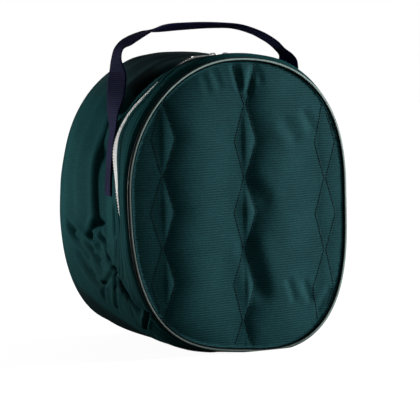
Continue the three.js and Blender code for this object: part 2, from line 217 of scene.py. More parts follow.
def leanFront(points):
    # out from the middle by a wave round the oval: squared width share times squared height share in the top half,
    # width share times squared height share in the base half, each scaled to reach about 1
    x, y, z = np.moveaxis(points, -1, 0)
    rise = z - oval["widest"]
    top = rise >= 0
    u, v = np.abs(x) / oval["halfWidth"], np.abs(rise) / halfShape(top)[0]
    r = np.maximum(np.hypot(u, v), 0.05)
    wave = np.where(top, 4 * u**2 * v**2 / r**2, 2.6 * v**2 * u / r)
    most = np.where(x > 0, np.where(top, *frontLean["right"]), np.where(top, *frontLean["left"]))
    shift = most * wave * ease(y, *frontLean["fade"]) / np.maximum(np.hypot(x, rise), 1)
    low = np.maximum(z + shift * rise, np.minimum(z, frontLean["lowest"]))
    return np.stack([x + shift * x, y, low], -1)


def valley(a, b, row, ridge, fade):
    # a bell-shaped hollow along a line, with a low ridge on either side, fading out past both ends
    a0, b0, a1, b1, width, drop = row
    da, db = a1 - a0, b1 - b0
    length = math.hypot(da, db)
    t = ((a - a0) * da + (b - b0) * db) / length
    p = ((a - a0) * db - (b - b0) * da) / length / width
    over = np.maximum(np.maximum(-t, t - length), 0) / (fade * width)
    return drop * (np.exp(-p**2) - ridge * np.exp(-((np.abs(p) - 1.9) ** 2))) * np.exp(-(over**2))


# materials

def linear(code):
    # sRGB hex to linear colour
    parts = [int(code[i:i + 2], 16) / 255 for i in (1, 3, 5)]
    return tuple(c / 12.92 if c <= 0.04045 else ((c + 0.055) / 1.055) ** 2.4 for c in parts) + (1,)


def addNode(tree, kind, inputs=None, **settings):
    # one node; an input is a plain value or the socket that feeds it
    node = tree.nodes.new("ShaderNode" + kind)
    for key, value in settings.items():
        setattr(node, key, value)
    for key, value in (inputs or {}).items():
        if isinstance(value, bpy.types.NodeSocket):
            tree.links.new(value, node.inputs[key])
        else:
            node.inputs[key].default_value = value
    return node


def newMaterial(name):
    material = bpy.data.materials.new(name)
    material.use_nodes = True
    tree = material.node_tree
    tree.nodes.clear()
    return material, tree, addNode(tree, "TexCoord").outputs


def bands(tree, place, spacing, direction, more=None, profile="SIN"):
    # stripes spacing mm apart: a Wave texture repeats every 2 pi / 20 of its input
    inputs = {"Vector": place, "Scale": 2 * math.pi / 20 / (spacing * 0.001)} | (more or {})
    return addNode(tree, "TexWave", inputs, wave_type="BANDS", bands_direction=direction,
                   wave_profile=profile).outputs["Fac"]


def clouds(tree, coords, size, detail):
    # soft noise with patches size mm across
    inputs = {"Vector": coords["Object"], "Scale": 1 / (size * 0.001), "Detail": detail}
    return addNode(tree, "TexNoise", inputs).outputs["Fac"]


def mix(tree, amount, first, second, kind="MIX"):
    # two colours, each a hex code or a socket
    first, second = (linear(c) if isinstance(c, str) else c for c in (first, second))
    inputs = {"Fac": amount, "Color1": first, "Color2": second}
    return addNode(tree, "MixRGB", inputs, blend_type=kind).outputs["Color"]


def remap(tree, value, to, start=0.0, end=1.0):
    # start to end becomes the range that is given
    inputs = {"Value": value, "From Min": start, "From Max": end, "To Min": to[0], "To Max": to[1]}
    return addNode(tree, "MapRange", inputs).outputs["Result"]


def combine(tree, operation, *values):
    return addNode(tree, "Math", dict(enumerate(values)), operation=operation).outputs["Value"]


def bump(tree, height, relief):
    # relief is the height in mm and the strength
    inputs = {"Height": height, "Distance": relief[0] * 0.001, "Strength": relief[1]}
    return addNode(tree, "Bump", inputs).outputs["Normal"]


def surface(tree, inputs):
    # the Principled shader, on the material's output
    shader = addNode(tree, "BsdfPrincipled", inputs)
    addNode(tree, "OutputMaterial", {"Surface": shader.outputs["BSDF"]})


clothLook = {
    "rib": "#1d4c50", "groove": "#11363a", "worn": "#235357",
    "ribSpacing": 2.6,  # mm; the real cord is finer, drawn this coarse so that it shows
    "threadSpacing": 0.9, "patch": 30, "fibre": 1.6,
    "roughness": 0.82, "gloss": 0.06, "relief": (0.3, 0.38),
    "paintedShading": [],
}
gussetLook = clothLook | {
    "rib": "#124042", "groove": "#0f393b", "worn": "#174647", "gloss": 0.03, "relief": (0.3, 0.13),
    "paintedShading": [("paintedShade", "#0c0f10"), ("paintedSheen", "#384146")],  # painted shade low down and in the hollow, a grey painted sheen on top
}


def ribbedPolyester(name, look, useUv):
    # piece-dyed polyester with a fine crosswise cord: matt, dark teal; the rib colour is painted light catching each
    # rib and the groove colour painted shade between them
    material, tree, coords = newMaterial(name)
    place = coords["UV" if useUv else "Object"]
    ribs = bands(tree, place, look["ribSpacing"], "X" if useUv else "Z",
                 {"Distortion": 1.8, "Detail": 2.0, "Detail Scale": 0.35})
    threads = bands(tree, place, look["threadSpacing"], "Y" if useUv else "X", {"Distortion": 0.8})
    patch = remap(tree, clouds(tree, coords, look["patch"], 2.0), (0.0, 0.35), 0.35, 0.7)
    worn = mix(tree, patch, mix(tree, ribs, look["groove"], look["rib"]), look["worn"])
    speck = remap(tree, clouds(tree, coords, look["fibre"], 3.0), (0.78, 1.18), 0.3, 0.7)
    colour = mix(tree, 1.0, worn, speck, "MULTIPLY")
    # painted shade and a grey painted sheen, mixed in from the cloth's colour attributes
    for layer, tint in look["paintedShading"]:
        amount = addNode(tree, "VertexColor", layer_name=layer)
        colour = mix(tree, amount.outputs["Color"], colour, tint)
    height = combine(tree, "MULTIPLY_ADD", threads, 0.25, ribs)
    surface(tree, {"Base Color": colour, "Roughness": look["roughness"], "Specular IOR Level": look["gloss"],
                   "Normal": bump(tree, height, look["relief"])})
    return material


pipingLook = {
    "crown": ("#90aaa4", "#b4ccc6"), "seamShade": "#060f0f", "wrap": 1.1, "patch": 20,
    "roughness": (0.38, 0.46), "gloss": 0.1, "relief": (0.05, 0.3),
}


def satinPiping(name, look):
    # cord covered in satin weave: long floats, so it shines along its crown like a silky ribbon; its pale crown colour
    # goes over into painted shade on the flanks that lie in the seam, and is painted paler over the top and the right
    # as highlight
    material, tree, coords = newMaterial(name)
    wrap = bands(tree, coords["UV"], look["wrap"], "DIAGONAL", {"Distortion": 1.5})
    crown = mix(tree, clouds(tree, coords, look["patch"], 2.0), *look["crown"])
    shown = addNode(tree, "VertexColor", layer_name="crown")
    surface(tree, {"Base Color": mix(tree, shown.outputs["Color"], look["seamShade"], crown),
                   "Roughness": remap(tree, wrap, look["roughness"]), "Specular IOR Level": look["gloss"],
                   "IOR": 1.55, "Normal": bump(tree, wrap, look["relief"])})
    return material


webbingLook = {
    "dip": "#06071a", "rib": "#1a1d47", "ribSpacing": 2.1, "endSpacing": 1.3, "fibre": 1.2,
    "roughness": 0.7, "gloss": 0.06, "relief": (0.35, 0.7),
}


def navyWebbing(name, look):
    # woven polypropylene webbing: crosswise ribs over flat warp ends, dry sheen; the dark dip colour is painted shade
    # between the ribs
    material, tree, coords = newMaterial(name)
    ribs = bands(tree, coords["UV"], look["ribSpacing"], "X", {"Distortion": 0.6, "Detail": 1.0})
    ends = bands(tree, coords["UV"], look["endSpacing"], "Y", {"Distortion": 0.5})
    speck = remap(tree, clouds(tree, coords, look["fibre"], 3.0), (0.8, 1.15), 0.3, 0.7)
    colour = mix(tree, 1.0, mix(tree, ribs, look["dip"], look["rib"]), speck, "MULTIPLY")
    height = combine(tree, "MULTIPLY_ADD", ends, 0.4, ribs)
    surface(tree, {"Base Color": colour, "Roughness": look["roughness"], "Specular IOR Level": look["gloss"],
                   "Normal": bump(tree, height, look["relief"])})
    return material


zipLook = {"tone": ("#f4f4f1", "#e4e5e3"), "weave": 1.2, "patch": 15, "roughness": 0.8, "relief": (0.2, 0.5)}
teethLook = zipLook | {"roughness": 0.35, "relief": (0.04, 0.5)}


def whiteZip(name, look):
    # bleached polyester tape, woven in a fine herringbone, or the bare nylon of the teeth
    material, tree, coords = newMaterial(name)
    weave = bands(tree, coords["UV"], look["weave"], "DIAGONAL", {"Distortion": 1.0}, "TRI")
    colour = mix(tree, clouds(tree, coords, look["patch"], 3.0), *look["tone"])
    surface(tree, {"Base Color": colour, "Roughness": look["roughness"], "IOR": 1.53,
                   "Normal": bump(tree, weave, look["relief"])})
    return material


nickelLook = {
    "tone": ("#c9cbca", "#e2e2df"), "patch": 2, "scratch": 0.6, "roughness": (0.22, 0.42), "relief": (0.03, 0.4),
}


def nickelPlate(name, look):
    # die-cast zinc, nickel plated and tumbled: bright, faintly uneven, with small handling scratches
    material, tree, coords = newMaterial(name)
    cloud = clouds(tree, coords, look["patch"], 4.0)
    scratch = clouds(tree, coords, look["scratch"], 2.0)
    surface(tree, {"Base Color": mix(tree, cloud, *look["tone"]), "Metallic": 1.0,
                   "Roughness": remap(tree, cloud, look["roughness"]), "Normal": bump(tree, scratch, look["relief"])})
    return material


threadLook = {"ply": 0.8, "shade": 0.55, "roughness": 0.6, "gloss": 0.1}


def sewingThread(name, code, look):
    # twisted polyester thread: two plies that show as slanted bands
    material, tree, coords = newMaterial(name)
    twist = bands(tree, coords["Object"], look["ply"], "DIAGONAL")
    dark = tuple(c * look["shade"] for c in linear(code)[:3]) + (1,)
    surface(tree, {"Base Color": mix(tree, twist, dark, code), "Roughness": look["roughness"],
                   "Specular IOR Level": look["gloss"]})
    return material


quiltCloth = ribbedPolyester("ribbedPolyesterQuilted", clothLook, False)
gussetCloth = ribbedPolyester("ribbedPolyesterGusset", gussetLook, True)
pipingSatin = satinPiping("satinCoveredCord", pipingLook)
webbing = navyWebbing("wovenPolypropylene", webbingLook)
tapeCloth = whiteZip("zipTapePolyester", zipLook)
coilNylon = whiteZip("zipTeethNylon", teethLook)
nickel = nickelPlate("nickelPlatedZinc", nickelLook)
tealThread = sewingThread("threadTeal", "#0e1c22", threadLook)
navyThread = sewingThread("threadNavy", "#17182f", threadLook)
print("materials made")


# small blocks and rows of stitches

def unit(rows):
    return rows / np.linalg.norm(rows, axis=1)[:, None]


def facing(normals, outward):
    # normals turned to the side that outward points to
    return normals * np.sign((normals * outward).sum(1))[:, None]


def pathAt(at, run, rows):
    # rows of a path at given lengths along it
    return np.stack([np.interp(at, run, rows[:, c]) for c in range(3)], 1)


def placeBlocks(template, place, axes):
    # the template's three measures laid along three axes at each place
    return place[:, None] + sum(template[None, :, k:k + 1] * axes[k][:, None] for k in range(3))


def blockFaces(count, turned):
    # blocks of four rings with four points each, closed at both ends; the turned ones are wound the other way
    c = np.arange(4)
    ring = np.stack([c, (c + 1) % 4, (c + 1) % 4 + 4, c + 4], 1)
    shell = np.vstack([ring, ring + 4, ring + 8, [[3, 2, 1, 0], [12, 13, 14, 15]]])
    faces = np.where(turned[:, None, None], shell[None, :, ::-1], shell[None])
    return (faces + 16 * np.arange(count)[:, None, None]).reshape(-1, 4)


def stitchBatch(name, rows, size, material):
    # each stitch is a four-sided spindle with thin ends, set on a path by length
    spin = np.arange(4) * np.pi / 2 + np.pi / 4
    rings = np.array([-0.5, -0.3, 0.3, 0.5])
    fat = np.array([0.35, 1, 1, 0.35])[:, None] * size["thick"] / 2
    template = np.stack([np.repeat(rings, 4) * size["long"], (fat * np.cos(spin)).ravel(),
                         (fat * np.sin(spin)).ravel()], 1)
    near = 0.4  # mm on either side that give the direction
    points = []
    for path, normal in rows:
        run = runLength(path)
        if run[-1] < size["pitch"]:
            continue
        at = np.arange(size["pitch"] / 2, run[-1], size["pitch"])
        ahead = unit(pathAt(at + near, run, path) - pathAt(at - near, run, path))
        out = pathAt(at, run, normal)
        out = unit(out - (out * ahead).sum(1)[:, None] * ahead)
        points.append(placeBlocks(template, pathAt(at, run, path), (ahead, np.cross(out, ahead), out)))
    points = np.vstack(points)
    obj = addMesh(name, points.reshape(-1, 3), [blockFaces(len(points), np.zeros(len(points), bool))])
    finishPiece(obj, [], material)
    print(name, len(points), "stitches")


def surfaceLine(points, u, v):
    # points and normals on a grid surface at fractional grid places, by bilinear mixing
    nu, nv = points.shape[:2]
    i = np.clip(np.floor(u).astype(int), 0, nu - 2)
    j = np.clip(np.floor(v).astype(int), 0, nv - 2)
    a, b = (u - i)[:, None], (v - j)[:, None]
    p00, p10, p01, p11 = points[i, j], points[i + 1, j], points[i, j + 1], points[i + 1, j + 1]
    place = p00 * (1 - a) * (1 - b) + p10 * a * (1 - b) + p01 * (1 - a) * b + p11 * a * b
    return place, unit(np.cross(p10 - p00 + p11 - p01, p01 - p00 + p11 - p10))


# the quilted front panel

quilt = {
    "chains": [(-91.4, 5.6, 0), (3.5, 0, 0), (93.5, -6.5, 7.5)],  # x at the middle, rise of the crossings, bow
    "lean": 0.03, "middle": 150, "bowReach": 110, "firstCrossing": 35.2, "pitch": 75,
    "halfDiamond": 12.6, "halfCrossing": 1.2,
    "inset": 2.8,  # from the seam in to the rim of the panel
    "spacing": 2.2,  # of the mesh
    "lineLimit": 0.967, "meshLimit": 0.965, "rimHold": (0.975, 0.93),  # levels of the oval
    # how far the stitched lines stand out from the rim, by x on the widest line
    "crown": [(-150, -4), (-126, 0), (-90, 5.4), (-40, 5.1), (3.5, 4.4), (50, 3.4), (98, 1.7), (126, 0), (150, -2)],
    "lift": 0.4, "domeMiddle": 155, "domeReach": 152.4,
    "pressure": 4.5, "slack": 0.002, "frames": 16, "most": 7,
    "settle": 0.6, "fall": 1.6, "outerShare": 0.8,  # the wadding lies thicker on the left of each pillow
    "deepest": 1.2, "lining": 2.2,
    "stitch": {"long": 2.5, "thick": 0.55, "pitch": 3.1}, "threadOut": 0.25,
    # soft folds: x and z at both ends, half width, drop
    "puckers": [
        (-5.5, 303, 0.5, 279, 3.5, 1.3), (17.5, 302, 10.5, 273, 3.5, 1.3), (5, 112, 20, 64, 9, 2.2),
        (22, 300, 25, 284, 4, 0.8), (51, 238, 62, 222, 7, 1.1), (75, 246, 83, 233, 5, 0.9),
        (51, 74, 57, 58, 4, 1.0), (71, 71, 77, 56, 4, 1.0), (-29, 297, -23, 281, 4, 0.7),
        (-40, 290, -37, 276, 4, 0.5), (88, 44, 100, 62, 4, 0.9), (8, 178, 24, 160, 9, 1.6),
    ],
}


def quiltLines(q):
    # a chain is two mirrored zigzags: the half width swings as a triangle wave with height
    lines = []
    for x, rise, bow in q["chains"]:
        z = np.arange(0, 310, q["spacing"] * 0.9)
        phase = (z - q["firstCrossing"] - rise) / q["pitch"]
        swing = 1 - np.abs(1 - 2 * (phase - np.floor(phase)))
        half = q["halfCrossing"] + (q["halfDiamond"] - q["halfCrossing"]) * swing
        middle = x + q["lean"] * (z - q["middle"]) + bow * (1 - ((z - q["middle"]) / q["bowReach"]) ** 2)
        for side in (-1, 1):
            line = np.stack([middle + side * half, z], 1)
            lines.append(line[ovalLevel(line[:, 0], line[:, 1]) < q["lineLimit"]])
    return lines


def panelDepth(x, z, q):
    # the crown across, drawn together where the oval narrows, and let down to the rim at the top and the base
    reach, power = halfShape(z >= oval["widest"])
    narrow = np.maximum(1 - np.minimum(np.abs(z - oval["widest"]) / reach, 1) ** power, 1e-4) ** (1 / power)
    tall = 1 - np.minimum(np.abs(z - q["domeMiddle"]) / q["domeReach"], 1) ** 4
    crown = rowsAt(q["crown"], np.clip(x / narrow, -140, 140))[..., 0]
    return oval["frontSeam"] - q["lift"] - np.maximum(crown * tall, 0)


def pillowShare(x, q):
    # 0 on the chain to the left, 1 on the chain to the right; thin outside the chains
    rows = [c[0] for c in q["chains"]]
    share = np.interp(x, rows, np.arange(len(rows)))
    share = share - np.minimum(np.floor(share), len(rows) - 2)
    return np.where((x < rows[0]) | (x > rows[-1]), q["outerShare"], share)


def puckerAt(x, z, q):
    # all the soft folds, none of them at the rim
    return sum(valley(x, z, row, 0.25, 1) for row in q["puckers"]) * ease(ovalLevel(x, z), *q["rimHold"])


def nearest(points, targets):
    # distance from each point to the closest target, in slices to save memory
    best = np.full(len(points), 1e9)
    for part in np.array_split(targets, 10):
        best = np.minimum(best, np.sqrt(((points[:, None] - part[None]) ** 2).sum(2)).min(1))
    return best


def makeFrontPanel(q):
    # the rim, the stitched lines and a staggered grid in one flat net, then swelled, lined and sewn
    step = q["spacing"]
    count = int(seamLength / step)
    x, z, nx, nz = seamAt(np.arange(count) / count)
    rim = np.stack([x - q["inset"] * nx, z - q["inset"] * nz], 1)
    lines = quiltLines(q)
    sewn = np.vstack(lines)
    gx, gz = np.meshgrid(np.arange(-126, 126, step), np.arange(0, 310, step * 0.866), indexing="ij")
    gx = gx + np.where(np.arange(gz.shape[1]) % 2, step / 2, 0)  # every other row moves half a step
    inner = np.stack([gx.ravel(), gz.ravel()], 1)
    inner = inner[ovalLevel(inner[:, 0], inner[:, 1]) < q["meshLimit"]]
    inner = inner[nearest(inner, sewn) > step * 0.6]
    flat = np.vstack([rim, sewn, inner])
    ring = np.arange(count)
    edges = np.stack([ring, (ring + 1) % count], 1).tolist()
    at = count
    for line in lines:
        k = np.arange(at, at + len(line) - 1)
        edges += np.stack([k, k + 1], 1).tolist()
        at += len(line)
    found = geometry.delaunay_2d_cdt([Vector(p) for p in flat.tolist()], edges, [], 1, 1e-4)
    faces = np.array(found[2])
    if len(found[0]) != len(flat):
        raise ValueError("the panel's mesh lost or gained points")
    rest = np.stack([flat[:, 0], panelDepth(flat[:, 0], flat[:, 1], q), flat[:, 1]], 1)
    pins = np.arange(count + len(sewn))
    front = inflate(rest, faces, pins, q)
    front[:, 1] = np.minimum(front[:, 1] + puckerAt(*flat.T, q), rest[:, 1] + q["deepest"])
    lining = rest + np.array([0, q["lining"], 0])
    n = len(rest)
    side = np.stack([ring, (ring + 1) % count, n + (ring + 1) % count, n + ring], 1)
    both = leanFront(np.vstack([front, lining]))
    obj = addMesh("front_panel_quilted", both, [np.vstack([faces, faces[:, ::-1] + n]), side])
    finishPiece(obj, ["front_panel"], quiltCloth)
    rows = []
    for x, z in (line.T for line in lines):
        depth = panelDepth(x, z, q) + np.minimum(puckerAt(x, z, q), q["deepest"]) - q["threadOut"]
        rows.append((leanFront(np.stack([x, depth, z], 1)), np.tile([0.0, -1.0, 0.0], (len(x), 1))))
    stitchBatch("front_panel_stitches", rows, q["stitch"], tealThread)


panelCloth = {
    "quality": 4, "mass": 0.02,
    "tension_stiffness": 8, "compression_stiffness": 8, "shear_stiffness": 4, "bending_stiffness": 0.3,
    "tension_damping": 5, "compression_damping": 5, "shear_damping": 5, "air_damping": 2,
    "vertex_group_mass": "sewn", "vertex_group_pressure": "wadding", "use_pressure": True,
}


def inflate(rest, faces, pins, q):
    # cloth held along the rim and the quilting seams swells under pressure; worked at ten times the size
    big = 0.01
    mesh = bpy.data.meshes.new("panelCloth")
    mesh.from_pydata((rest * big).tolist(), [], faces.tolist())
    obj = bpy.data.objects.new("panelCloth", mesh)
    scene.collection.objects.link(obj)
    outwardSign = -1 if mesh.polygons[0].normal.y > 0 else 1
    obj.vertex_groups.new(name="sewn").add(pins.tolist(), 1, "REPLACE")
    share = pillowShare(rest[:, 0], q)
    wadding = obj.vertex_groups.new(name="wadding")  # pressure falls from left to right in each pillow
    for level in range(10):
        chosen = np.flatnonzero((share >= level / 10) & (share < level / 10 + 0.1001))
        wadding.add(chosen.tolist(), (1 - 0.09 * level) ** q["fall"], "REPLACE")
    cloth = obj.modifiers.new("cloth", "CLOTH")
    s = cloth.settings
    for key, value in panelCloth.items():
        setattr(s, key, value)
    s.uniform_pressure_force = outwardSign * q["pressure"]
    s.shrink_min = -q["slack"]
    s.effector_weights.gravity = 0
    cloth.collision_settings.use_collision = False
    for f in range(1, q["frames"] + 1):
        scene.frame_set(f)
    seen = obj.evaluated_get(bpy.context.evaluated_depsgraph_get()).data
    moved = np.zeros(len(rest) * 3, np.float32)
    seen.vertices.foreach_get("co", moved)
    bpy.data.objects.remove(obj)
    scene.frame_set(1)
    shift = (moved.reshape(-1, 3) / big - rest) * (1 + q["settle"] * (1 - 2 * share))[:, None]
    size = np.linalg.norm(shift, axis=1)[:, None]
    print("panel swelled by", round(float(size.max()), 1), "mm")
    return rest + shift * np.minimum(1, q["most"] / np.maximum(size, 1e-6))


makeFrontPanel(quilt)
print("front panel made")


# the piping

piping = {
    "radius": 2.1, "around": 620, "sides": 24,
    "crownTurn": 88, "crownEdge": (0.86, 0.97),  # where the pale crown lies, in degrees, and the cosines at its edge
    "paintedHighlightTop": (170, 285), "paintedHighlightRight": (30, 100),  # heights and widths over which painted highlight makes it paler
}


def makePiping(p):
    # a circle carried round the seam
    share = np.arange(p["around"] + 1) / p["around"]
    angle = np.arange(p["sides"] + 1) / p["sides"] * 2 * np.pi
    x, z, nx, nz = (a[:-1, None] for a in seamAt(share))
    out, back = p["radius"] * np.cos(angle[:-1]), p["radius"] * np.sin(angle[:-1])
    points = leanFront(np.stack([x + nx * out, oval["frontSeam"] + back + 0 * x, z + nz * out], -1))
    uv = np.stack(np.broadcast_arrays((share * seamLength)[:, None], (angle * p["radius"])[None]), -1)
    obj = tubePiece("front_piping_cord", points, uv, True)
    # 1 where the cord faces forward, 0 on the flanks, whose dark colour is painted shade where they lie in the seam;
    # paler over the top and the right as painted highlight
    paintedHighlight = np.maximum(0.35 + 0.65 * ease(z, *p["paintedHighlightTop"]), 0.75 * ease(x, *p["paintedHighlightRight"]))
    crown = ease(np.cos(angle[:-1] + np.radians(p["crownTurn"])), *p["crownEdge"]) * paintedHighlight
    pointColour(obj, "crown", crown)
    finishPiece(obj, ["front_piping"], pipingSatin)


makePiping(piping)
print("piping made")


# the gussets

gusset = {
    # depth of each station, then how far the cloth stands out there; a row for each share of the way up a side
    "stations": [-83, -78, -66, -48, -24, 6, 20, 48, 68, 87],
    "rows": [
        (0.00, 1.0, 4, 4.5, 5, 5, 5, 5, 5, 4.5, -4),
        (0.08, 1.0, 3.5, 3.5, 4, 4.5, 4, 2, 1, 1.5, -5),
        (0.16, 0.8, 3, 2.5, 2, 1, -0.5, -1.5, -1, -1, -3.5),
        (0.24, 0.5, 3, 2, 1, 0, -1, -1, 0, 1, 0.8),
        (0.36, 0.5, 3.2, 1, -2, -1, -2, 0, 3.5, 5, 4.1),
        (0.43, 0.5, 3.3, 0, -4, -5, -6, -4, 3.5, 6, 4.9),
        (0.48, 0.5, 3.5, -1, -6, -9, -13, -2, 4.5, 7, 5),
        (0.56, 0.5, 3.8, 0, -3, -9, -15, -2, 3, 5, 2.9),
        (0.62, 0.5, 4, 2, 3, -8, -14, -2, 2.5, 4, 1.5),
        (0.70, 0.5, 5, 4, 5, -3, -8, -2, 2.5, 4, 2.7),
        (0.82, 0.5, 6, 4.8, 4, 0, 0, 1, 5.5, 7, 5.1),
        (0.91, 0.5, 6.2, 5, 3.8, 1.5, 2, 4.3, 8.3, 10, 6.5),
        (1.00, 0.5, 6.4, 5.2, 3.5, 3, 4.5, 5.5, 7, 8.4, 4.5),
    ],
    # share of the way up, depth of the lid's edge and of the body's edge, with the zip between
    "zip": [
        (0.00, -22.3, -21.7), (0.20, -25.3, -24.7), (0.32, -40.6, -40), (0.44, -48.1, -47.3), (0.50, -49.2, -45.3),
        (0.55, -51, -42), (0.60, -56, -39), (0.64, -56, -37), (0.68, -53.2, -41), (0.72, -55, -46),
        (0.76, -59.5, -50.5), (0.79, -63, -55), (0.82, -65, -60.8), (0.84, -62.5, -61.5), (0.88, -54, -52),
        (0.905, -51.5, -44), (0.96, -51, -41.5), (1.00, -51, -41),
    ],
    "zipGap": 0.6,  # least space between the two edges
    # creases of the left side: length along the seam and depth at both ends, half width, drop
    "creases": [
        (214, 8, 330, 8, 3, 2),  # behind the webbing
        (216, 4, 210, 16, 4, 2.5), (210, 16, 199, 23, 4.5, 3.5),  # hook
        (199, 23, 192, 12, 4, 2.6), (203, 3, 199, 7, 6, -2),
        (206, 54, 172, 8, 4, 3.2), (209, 62, 177, 32, 4, 2.6), (178, 46, 146, 18, 5, 2.6),  # slanting
        (203, 3, 179, -14, 3, 2.2), (179, -14, 169, -27, 3, 2.2), (170, -27, 166, -31, 3.5, 3),
        (167, -28, 147, 8, 3, 2.2), (147, 8, 129, 24, 3, 1.6), (163, -32, 143, -20, 3, 2), (143, -20, 118, 5, 3, 1.8),
        (163, -35, 149, -44, 3.5, 3), (150, -43, 128, -60, 4.5, 6),
        (232, -26, 206, -32, 3, 2), (198, -38, 183, -35, 3, 1.5),  # under the end of the zip
        (120, -76, 96, -44, 2.5, 4),
    ],
    # hollows without the low ridges, given the same way: behind the zip, where the handle pulls at the cloth
    "hollows": [(358, -6, 385, -16, 13, 24), (385, -16, 410, -20, 10, 15)],
    "copyShift": 7, "copyStrength": 0.7,  # of the creases on the right side
    "waves": [(0.5, 17, 23, 0), (0.35, 11, -31, 1.3), (0.25, 7.3, 14, 2.1)],  # height, lengths along and back, phase
    "middle": 2, "seamHold": (88, 70), "sliderHold": (0.985, 0.93),  # the seams and the sliders hold the cloth smooth
    "straightStep": 5,  # the stations on either side of the sewn webbing
    "around": 560, "lidAcross": 70, "bodyAcross": 84, "inside": 10,
    "lidFront": -83.2, "bodyBack": 87.7,
    "welt": 0.7, "weltEdge": (6.5, 5), "stitchLine": 5.4, "stitchDip": (0.35, 0.7),
    # dips behind the piping's seam: place, half width, drop; its seam pulls the cloth in, and its turning shows
    "pipingDips": [(2.8, 1.2, 1.8), (10.8, 0.7, 0.7)],
    "stitch": {"long": 2.6, "thick": 0.55, "pitch": 3.3}, "stitchedFrom": 0.25, "threadOut": 0.15,
}


def upAt(share):
    # 0 in the middle of the base, 1 at the top, by length up either side
    return 1 - np.abs(1 - 2 * np.mod(share, 1))


def bulgeAt(up, depth):
    # eases from station to station, and straight where the webbing is sewn on
    stations = np.array(gusset["stations"], float)
    values = rowsAt(gusset["rows"], up)
    y = np.clip(depth, stations[0], stations[-1])
    k = np.clip(np.searchsorted(stations, y, side="left"), 1, len(stations) - 1)
    p = (y - stations[k - 1]) / (stations[k] - stations[k - 1])
    p = np.where(k == gusset["straightStep"], p, p * p * (3 - 2 * p))
    low = np.take_along_axis(values, (k - 1)[..., None], -1)[..., 0]
    high = np.take_along_axis(values, k[..., None], -1)[..., 0]
    return low + (high - low) * p


def zipAt(up):
    # depth of the lid's edge and of the body's edge
    row = rowsAt(gusset["zip"], up)
    return row[..., 0], np.maximum(row[..., 1], row[..., 0] + gusset["zipGap"])


def creaseAt(share, depth):
    # all the creases and hollows; the right side has a fainter copy of them
    share = np.mod(share, 1)
    left = share > 0.5
    along = np.minimum(share, 1 - share) * seamLength + np.where(left, 0, gusset["copyShift"])
    total = np.zeros(np.broadcast(along, depth).shape)
    for rows, ridge in ((gusset["creases"], 0.3), (gusset["hollows"], 0)):
        strength = np.where(left, 1 + ridge, gusset["copyStrength"])
        for row in rows:
            total = total - strength * valley(along, depth, row, ridge, 1.5)
    return total


def softAt(share, depth):
    # slow waves of a cloth that nothing holds out, from a few sines
    a = share * seamLength
    return sum(h * np.sin(a / along + depth / back + phase) for h, along, back, phase in gusset["waves"])


def gussetPoint(share, depth, lift, folds=1.0):
    # the seam point moved along its normal; pressed flat where it meets the floor
    x, z, nx, nz = seamAt(share)
    up = upAt(share)
    hold = ease(np.abs(depth - gusset["middle"]), *gusset["seamHold"]) * ease(up, *gusset["sliderHold"])
    out = bulgeAt(up, depth) + folds * hold * (creaseAt(share, depth) + softAt(share, depth)) + lift
    return np.stack([x + nx * out, depth + 0 * x, np.maximum(z + nz * out, np.maximum(-lift, 0))], -1)


# how much painted shade and painted sheen the gusset cloth takes, and where
paintedShading = {
    "edge": 0.8, "edgeDepth": 68, "edgeUp": 0.3, "edgeSlope": 480, "edgeFade": (-22, 12), "edgeEnd": (0.37, 0.27),
    "low": 0.3, "lowUp": (0.5, 0.3),
    "sunk": 0.9, "sunkDepth": ((26, 12), (-46, -20)), "sunkUp": ((0.77, 0.82), (0.93, 0.87)),
    "paintedSheen": 0.5, "paintedSheenUp": (0.74, 0.88), "paintedSheenDepth": (-46, -30),
}


def paintedShadingAt(up, depth, k):
    # painted shade along the back edge, reaching further forward the lower the cloth is, all over the lowest part, and
    # in the hollow between the handle and the zip; a grey painted sheen on top, outside that hollow
    forward = depth - k["edgeDepth"] + k["edgeSlope"] * (k["edgeUp"] - up)
    edge = k["edge"] * ease(forward, *k["edgeFade"]) * ease(up, *k["edgeEnd"])
    sunk = math.prod([ease(depth, *d) for d in k["sunkDepth"]] + [ease(up, *u) for u in k["sunkUp"]])
    paintedShade = np.maximum(np.maximum(edge, k["low"] * ease(up, *k["lowUp"])), k["sunk"] * sunk)
    paintedSheen = k["paintedSheen"] * ease(up, *k["paintedSheenUp"]) * ease(depth, *k["paintedSheenDepth"]) * (1 - sunk)
    return {"paintedShade": paintedShade, "paintedSheen": paintedSheen}


